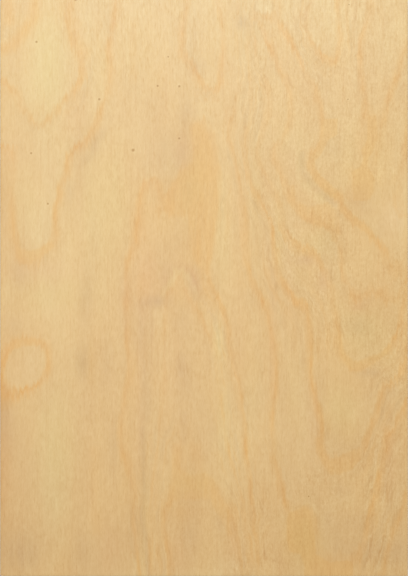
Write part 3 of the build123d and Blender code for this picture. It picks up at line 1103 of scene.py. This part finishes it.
def noiseOf(tree, place, name):
    return grainNoise(tree, place, *faceNoise[name])


def strayOf(tree, place, name, reach):
    # a noise strays by about a quarter to each side of its middle, so four times that is about the reach
    return times(tree, less(tree, noiseOf(tree, place, name), 0.5), 4 * reach)


def fadeOf(tree, value, name, low=0.0, high=1.0):
    return fade(tree, value, *faceFades[name], low, high)


def ringShades(tree, place, slope, fleckStrength):
    # distances in millimetres to the ring line ahead and from the one behind, with a fibrous wander
    across = strayOf(tree, place, "wanderAcross", faceFinish["wanderAcross"])
    along = strayOf(tree, place, "wanderAlong", faceFinish["wanderAlong"])
    waves = strayOf(tree, place, "waves", faceFinish["wanderWavy"])
    waves = times(tree, waves, fadeOf(tree, slope, "waveSlope"))
    waves = times(tree, waves, fadeOf(tree, fleckStrength, "waveFlecks"))
    across = plus(tree, across, waves)
    number = plus(tree, readAttribute(tree, "ringNumber"), times(tree, across, slope))
    number = plus(tree, number, times(tree, along, readAttribute(tree, "ringSlopeAlong")))
    through = maths(tree, "FRACT", number)
    ahead = maths(tree, "DIVIDE", less(tree, 1.0, through), slope)
    behind = maths(tree, "DIVIDE", through, slope)
    return number, through, ahead, behind


def lineShades(tree, slope, ahead, behind, broken):
    # latewood is soft before the ring line and sharp after it, and thinner where the rings lie close
    strength = readAttribute(tree, "ringStrength")
    closeness = fadeOf(tree, slope, "closeRings", 1.0, faceFinish["lineThin"])
    softWidth = times(tree, closeness, faceFinish["lineSoft"])
    sharpWidth = times(tree, closeness, faceFinish["lineSharp"])
    soft = less(tree, 1.0, maths(tree, "DIVIDE", ahead, softWidth), clamp=True)
    sharp = fade(tree, behind, 0.0, sharpWidth, 1.0, 0.0)
    line = maths(tree, "MAXIMUM", maths(tree, "POWER", soft, faceFinish["softPower"]), sharp)
    core = times(tree, maths(tree, "POWER", line, faceFinish["corePower"]), strength)
    uneven = fadeOf(tree, broken, "brokenLine", *faceFinish["uneven"])
    return times(tree, line, times(tree, strength, uneven)), core, sharp


def patchShade(tree, behind, sharp, ragged):
    # broad latewood with torn edges: patches that the ring lines cut, and blocks that they don't
    patch = readAttribute(tree, "latewoodPatch")
    patch = times(tree, fadeOf(tree, plus(tree, patch, ragged), "patchEdge"), patch)
    patch = times(tree, patch, maths(tree, "MAXIMUM", sharp, fadeOf(tree, behind, "patchBehind")))
    block = plus(tree, readAttribute(tree, "latewoodBlock"), times(tree, ragged, faceFinish["blockTeeth"]))
    block = times(tree, fadeOf(tree, block, "blockEdge"), faceFinish["blockMost"])
    return maths(tree, "MAXIMUM", patch, block)


def paleShade(tree, behind, patch):
    # the pale wood that follows a ring line
    pale = fadeOf(tree, behind, "paleAfter", 1.0, 0.0)
    pale = times(tree, pale, less(tree, readAttribute(tree, "ringStrength"), patch, clamp=True))
    return times(tree, pale, faceFinish["paleMost"])


def fibrePlace(tree, place, steep):
    # the fibre strays sideways where the rings are steep
    curl = strayOf(tree, place, "curl", faceFinish["curl"] * mm)
    sideways = tree.nodes.new("ShaderNodeCombineXYZ")
    feed(tree, times(tree, curl, steep), sideways.inputs[0])
    return vectorMaths(tree, "ADD", place, sideways.outputs[0])


def ringPlace(tree, place, number):
    # bands and threads follow the rings, so the ring number stands for the way across
    apart = tree.nodes.new("ShaderNodeSeparateXYZ")
    feed(tree, place, apart.inputs[0])
    joined = tree.nodes.new("ShaderNodeCombineXYZ")
    feed(tree, times(tree, number, faceFinish["ringSpan"] * mm), joined.inputs[0])
    feed(tree, apart.outputs["Y"], joined.inputs[1])
    return joined.outputs[0]


def layeredShare(tree, slope, fleckStrength):
    # bands show where the rings lie fairly close and the flecks are strong
    layered = times(tree, fadeOf(tree, slope, "bandsEnd", 1.0, 0.0), fadeOf(tree, slope, "bandsStart"))
    return times(tree, layered, fadeOf(tree, fleckStrength, "strongFlecks"))


def fleckShade(tree, fibre, fleckStrength):
    # long flecks give way to shorter ones where they are strong
    longFlecks = noiseOf(tree, fibre, "longFlecks")
    shorter = less(tree, noiseOf(tree, fibre, "shortFlecks"), longFlecks)
    return plus(tree, longFlecks, times(tree, shorter, fadeOf(tree, fleckStrength, "strongFlecks")))


def threadShades(tree, rings, layered, broken, line):
    # thin dark threads beside thin pale ones
    threads = less(tree, noiseOf(tree, rings, "threads"), 0.5)
    show = times(tree, layered, fadeOf(tree, broken, "brokenThread", faceFinish["threadLeast"]))
    show = times(tree, show, less(tree, 1.0, line, clamp=True))
    dark = fadeOf(tree, maths(tree, "ABSOLUTE", threads), "thread", 1.0, 0.0)
    pale = maths(tree, "ABSOLUTE", less(tree, threads, faceFinish["threadApart"]))
    pale = fadeOf(tree, pale, "thread", 1.0, 0.0)
    return times(tree, dark, show), times(tree, pale, show)


def paleEdgeTones(tree, colour, behind):
    # the pale, jagged edge after the ring line, and the darker wood beyond it
    edge = readAttribute(tree, "paleEdge")
    near = times(tree, fadeOf(tree, behind, "edgeStart"), fadeOf(tree, behind, "edgeEnd", 1.0, 0.0))
    beyond = times(tree, fadeOf(tree, behind, "beyondStart"), fadeOf(tree, behind, "beyondEnd", 1.0, 0.0))
    colour = tintBy(tree, colour, times(tree, edge, near), faceFinish["paleEdge"])
    return tintBy(tree, colour, times(tree, edge, beyond), faceFinish["beyondEdge"])


def slowTones(tree, colour, place, rings, steep):
    # slow changes of tone over the sheet, and wide bands along the rings
    for name in ("mottle", "cloud"):
        slow = fadeOf(tree, noiseOf(tree, place, name), "slowTone")
        colour = tintBy(tree, colour, slow, faceFinish[name])
    wide = noiseOf(tree, rings, "wideBands")
    for name in ("bandWarm", "bandGrey"):
        colour = tintBy(tree, colour, times(tree, steep, fadeOf(tree, wide, name)), faceFinish[name])
    return colour


def zoneTones(tree, colour, behind, ragged):
    # the soft zones: rosy and straw are smooth, the others have fibrous edges
    for name in ("rosy", "straw"):
        colour = tintBy(tree, colour, readAttribute(tree, name + "Wood"), faceFinish[name])
    colour = paleEdgeTones(tree, colour, behind)
    streaky = plus(tree, 1.0, times(tree, ragged, faceFinish["zoneFibre"]))
    # besides pale wood, the pale zones carry a painted highlight along the lower end of the face
    for name in ("warm", "grey", "pale"):
        zone = times(tree, readAttribute(tree, name + "Wood"), streaky)
        colour = tintBy(tree, colour, zone, faceFinish[name])
    return colour


def pinShades(tree, place):
    # one spot for each pin knot, and the paler ring round it
    spot, halo = 0.0, 0.0
    for x, y, size in pinKnots:
        node = tree.nodes.new("ShaderNodeVectorMath")
        node.operation = "DISTANCE"
        feed(tree, place, node.inputs[0])
        node.inputs[1].default_value = (x * mm, y * mm, thickness * mm)
        far = maths(tree, "DIVIDE", node.outputs["Value"], size * mm)
        spot = maths(tree, "MAXIMUM", spot, fadeOf(tree, far, "pinSpot", 1.0, 0.0))
        halo = maths(tree, "MAXIMUM", halo, fadeOf(tree, far, "pinHalo", 1.0, 0.0))
    return spot, halo


def markTones(tree, colour, place):
    # thin pinstripes, scuffs and pin knots
    pinstripes = fadeOf(tree, noiseOf(tree, place, "pinstripes"), "pinstripe")
    pinstripes = times(tree, pinstripes, faceFinish["pinstripeMost"])
    colour = tintBy(tree, colour, pinstripes, faceFinish["pinstripe"])
    specks = fadeOf(tree, noiseOf(tree, place, "specks"), "speck")
    scuffs = times(tree, specks, readAttribute(tree, "scuffedWood"))
    colour = tintBy(tree, colour, scuffs, faceFinish["scuff"])
    spot, halo = pinShades(tree, place)
    colour = tintBy(tree, colour, halo, faceFinish["pinHalo"])
    return tintBy(tree, colour, spot, faceFinish["pin"])


def makeFaceMaterial():
    material, tree, shader = newMaterial("clear_birch_face")
    place = tree.nodes.new("ShaderNodeTexCoord").outputs["Object"]
    slope = readAttribute(tree, "ringSlope")
    fleckStrength = readAttribute(tree, "fleckStrength")
    number, through, ahead, behind = ringShades(tree, place, slope, fleckStrength)
    broken = noiseOf(tree, place, "broken")
    ragged = strayOf(tree, place, "teeth", faceFinish["teeth"])
    line, core, sharp = lineShades(tree, slope, ahead, behind, broken)
    patch = patchShade(tree, behind, sharp, ragged)
    beside = less(tree, 1.0, times(tree, patch, faceFinish["patchHides"]))
    stroke = times(tree, readAttribute(tree, "latewoodStroke"), plus(tree, 1.0, ragged))
    line = maths(tree, "MAXIMUM", times(tree, line, beside), stroke)
    core = times(tree, core, beside)
    steep = fadeOf(tree, slope, "steep")
    layered = layeredShare(tree, slope, fleckStrength)
    fibre = fibrePlace(tree, place, steep)
    rings = ringPlace(tree, place, number)

    # tones of the wood, then the latewood on them
    colour = tintBy(tree, faceFinish["wood"], through, faceFinish["throughRing"])
    colour = tintBy(tree, colour, paleShade(tree, behind, patch), faceFinish["afterRing"])
    colour = slowTones(tree, colour, place, rings, steep)
    colour = zoneTones(tree, colour, behind, ragged)
    for amount, name in ((patch, "latewood"), (line, "ringLine"), (core, "ringCore")):
        colour = tintBy(tree, colour, amount, faceFinish[name])

    # the fibre: flecks, streaks, bands, threads, pores and vessels
    streaks = noiseOf(tree, fibre, "streaks")
    flecks = fleckShade(tree, fibre, fleckStrength)
    colour = varyBy(tree, colour, flecks, times(tree, fleckStrength, faceFinish["flecks"]))
    colour = varyBy(tree, colour, streaks, times(tree, fleckStrength, faceFinish["streaks"]))
    colour = varyBy(tree, colour, noiseOf(tree, rings, "bands"), times(tree, layered, faceFinish["bands"]))
    darkThread, paleThread = threadShades(tree, rings, layered, broken, line)
    pores = fadeOf(tree, noiseOf(tree, fibre, "pores"), "pore")
    vessels = noiseOf(tree, fibre, "vessels")
    vessel = times(tree, fleckStrength, faceFinish["vesselMost"])
    vessel = times(tree, fadeOf(tree, vessels, "vessel"), vessel)
    for amount, name in ((darkThread, "threadDark"), (paleThread, "threadPale"), (pores, "pore"),
                         (vessel, "vessel")):
        colour = tintBy(tree, colour, amount, faceFinish[name])
    feed(tree, markTones(tree, colour, place), shader.inputs["Base Color"])

    feed(tree, fadeOf(tree, vessels, "sheen", *faceFinish["roughness"]), shader.inputs["Roughness"])
    relief = less(tree, times(tree, line, faceFinish["lineRise"]), vessel)
    relief = plus(tree, relief, times(tree, streaks, faceFinish["streakRise"]))
    relief = less(tree, relief, times(tree, pores, faceFinish["poreDrop"]))
    feed(tree, bumpFrom(tree, relief, *faceFinish["relief"]), shader.inputs["Normal"])
    return material


# The back: a plainer veneer, cut with wide even rings
backFinish = {
    "wood": (0.66, 0.42, 0.18, 1),
    "latewood": (0.96, 0.88, 0.78),
    "streak": (0.93, 0.90, 0.86),
    "vessel": (0.84, 0.80, 0.74),
    "ringWidth": 34.0,
    "flow": 6.0,            # how many rings wide the lines wander, over the sheet and along the fibre
    "fibreFlow": 0.16,
    "linePower": 7.0,
    "streakFade": (0.35, 0.75),
    "vesselFade": (0.55, 0.75),
    "relief": (0.2, 0.06),  # strength, and depth in millimetres
    "roughness": 0.5,
}


def makeBackMaterial():
    material, tree, shader = newMaterial("plain_birch_back")
    place = tree.nodes.new("ShaderNodeTexCoord").outputs["Object"]
    apart = tree.nodes.new("ShaderNodeSeparateXYZ")
    feed(tree, place, apart.inputs[0])
    flow = times(tree, grainNoise(tree, place, (90, 320, 50), detail=2, shift=4), backFinish["flow"])
    fibre = times(tree, grainNoise(tree, place, (2, 30, 20), detail=2, shift=6), backFinish["fibreFlow"])
    number = plus(tree, maths(tree, "DIVIDE", apart.outputs["X"], backFinish["ringWidth"] * mm), flow)
    through = maths(tree, "FRACT", plus(tree, number, fibre))
    line = maths(tree, "POWER", through, backFinish["linePower"])
    streaks = grainNoise(tree, place, (1.4, 30, 20), detail=3, roughness=0.6, shift=15)
    vessels = grainNoise(tree, place, (0.75, 9, 20), detail=2, shift=17)
    colour = tintBy(tree, backFinish["wood"], line, backFinish["latewood"])
    colour = tintBy(tree, colour, fade(tree, streaks, *backFinish["streakFade"]), backFinish["streak"])
    colour = tintBy(tree, colour, fade(tree, vessels, *backFinish["vesselFade"]), backFinish["vessel"])
    feed(tree, colour, shader.inputs["Base Color"])
    shader.inputs["Roughness"].default_value = backFinish["roughness"]
    feed(tree, bumpFrom(tree, streaks, *backFinish["relief"]), shader.inputs["Normal"])
    return material


# The sawn edges: end grain and long grain by turns, with dark glue between
edgeFinish = {
    "endGrain": (0.47, 0.275, 0.118, 1),
    "longGrain": (0.70, 0.46, 0.215, 1),
    "pore": (0.74, 0.67, 0.60),
    "check": (0.66, 0.57, 0.49),
    "streak": (0.80, 0.74, 0.66),
    "plyTint": (0.88, 0.84, 0.79),
    "glue": (0.34, 0.25, 0.19),
    "glueWidth": 0.16,
    "poreFade": (0.5, 0.68),
    "checkFade": (0.62, 0.74),
    "streakFade": (0.42, 0.7),
    "endRelief": (0.5, 0.15),   # strength, and depth in millimetres
    "longRelief": (0.4, 0.1),
    "roughness": 0.62,
}


def glueAndPly(tree, place):
    # how near the glue a point is, and a number of its own for each ply
    apart = tree.nodes.new("ShaderNodeSeparateXYZ")
    feed(tree, place, apart.inputs[0])
    height = less(tree, apart.outputs["Z"], sheetShape["faceVeneer"] * mm)
    height = maths(tree, "DIVIDE", height, sheetShape["coreVeneer"] * mm)
    part = maths(tree, "FRACT", height)
    near = maths(tree, "MINIMUM", part, less(tree, 1.0, part))
    width = edgeFinish["glueWidth"] / sheetShape["coreVeneer"]
    waver = times(tree, grainNoise(tree, place, (3, 3, 50), detail=2), 2 * width)
    glue = less(tree, 1.0, maths(tree, "DIVIDE", near, waver), clamp=True)
    glue = times(tree, glue, maths(tree, "LESS_THAN", height, sheetShape["plyCount"] - 1.5))
    own = tree.nodes.new("ShaderNodeTexWhiteNoise")
    own.noise_dimensions = "1D"
    feed(tree, maths(tree, "FLOOR", height), own.inputs["W"])
    return glue, own.outputs["Value"]


def makeEndGrain():
    material, tree, shader = newMaterial("birch_end_grain")
    place = tree.nodes.new("ShaderNodeTexCoord").outputs["Object"]
    glue, own = glueAndPly(tree, place)
    pores = grainNoise(tree, place, (0.28, 0.28, 0.28), detail=2, roughness=0.6)
    checks = grainNoise(tree, place, (0.35, 0.35, 1.1), detail=2, shift=8)
    colour = tintBy(tree, edgeFinish["endGrain"], own, edgeFinish["plyTint"])
    colour = tintBy(tree, colour, fade(tree, pores, *edgeFinish["poreFade"]), edgeFinish["pore"])
    colour = tintBy(tree, colour, fade(tree, checks, *edgeFinish["checkFade"]), edgeFinish["check"])
    colour = tintBy(tree, colour, glue, edgeFinish["glue"])
    feed(tree, colour, shader.inputs["Base Color"])
    shader.inputs["Roughness"].default_value = edgeFinish["roughness"]
    feed(tree, bumpFrom(tree, plus(tree, pores, checks), *edgeFinish["endRelief"]), shader.inputs["Normal"])
    return material


def makeLongGrain(name, size):
    material, tree, shader = newMaterial(name)
    place = tree.nodes.new("ShaderNodeTexCoord").outputs["Object"]
    glue, own = glueAndPly(tree, place)
    streaks = grainNoise(tree, place, size, detail=3, roughness=0.6, shift=19)
    colour = tintBy(tree, edgeFinish["longGrain"], own, edgeFinish["plyTint"])
    colour = tintBy(tree, colour, fade(tree, streaks, *edgeFinish["streakFade"]), edgeFinish["streak"])
    colour = tintBy(tree, colour, glue, edgeFinish["glue"])
    feed(tree, colour, shader.inputs["Base Color"])
    shader.inputs["Roughness"].default_value = edgeFinish["roughness"]
    feed(tree, bumpFrom(tree, streaks, *edgeFinish["longRelief"]), shader.inputs["Normal"])
    return material


def dressSheet(sheet):
    materials = [
        makeFaceMaterial(),
        makeBackMaterial(),
        makeEndGrain(),
        makeLongGrain("birch_long_grain_side", (0.3, 14, 0.3)),
        makeLongGrain("birch_long_grain_end", (14, 0.3, 0.3)),
    ]
    for material in materials:
        sheet.data.materials.append(material)
    face, back, endGrain, longSide, longEnd = range(5)
    for side in sheet.data.polygons:
        middle = side.center / mm
        if side.normal.z > sheetShape["flatFrom"] and middle.z > thickness - sheetShape["arrisRadius"]:
            side.material_index = face
        elif side.normal.z < -sheetShape["flatFrom"] and middle.z < sheetShape["arrisRadius"]:
            side.material_index = back
        else:
            number = math.floor((middle.z - sheetShape["faceVeneer"]) / sheetShape["coreVeneer"]) + 1
            onSide = abs(side.normal.x) > abs(side.normal.y)
            alongLength = number % 2 == 0
            if alongLength != onSide:
                side.material_index = endGrain
            else:
                side.material_index = longSide if onSide else longEnd
    bpy.ops.object.shade_smooth_by_angle(angle=math.radians(sheetShape["creaseAngle"]))


def makeSheet():
    sheet = makeSheetMesh()
    print("sheet mesh made,", len(sheet.data.polygons), "faces")
    dressFace(sheet)
    dressSheet(sheet)
    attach(sheet, "root")
    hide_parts("plywood_sheet")
    print("sheet dressed")


def makeFloor():
    bpy.ops.object.select_all(action="DESELECT")
    bpy.ops.mesh.primitive_plane_add(size=studioLight["floorSize"] * mm)
    floor = bpy.context.object
    floor.name = "pale_floor"
    material, tree, shader = newMaterial("pale_floor")
    shader.inputs["Base Color"].default_value = studioLight["floorColour"]
    shader.inputs["Roughness"].default_value = studioLight["floorRoughness"]
    floor.data.materials.append(material)


makeCamera()
makeLight()
makeFloor()
makeSheet()
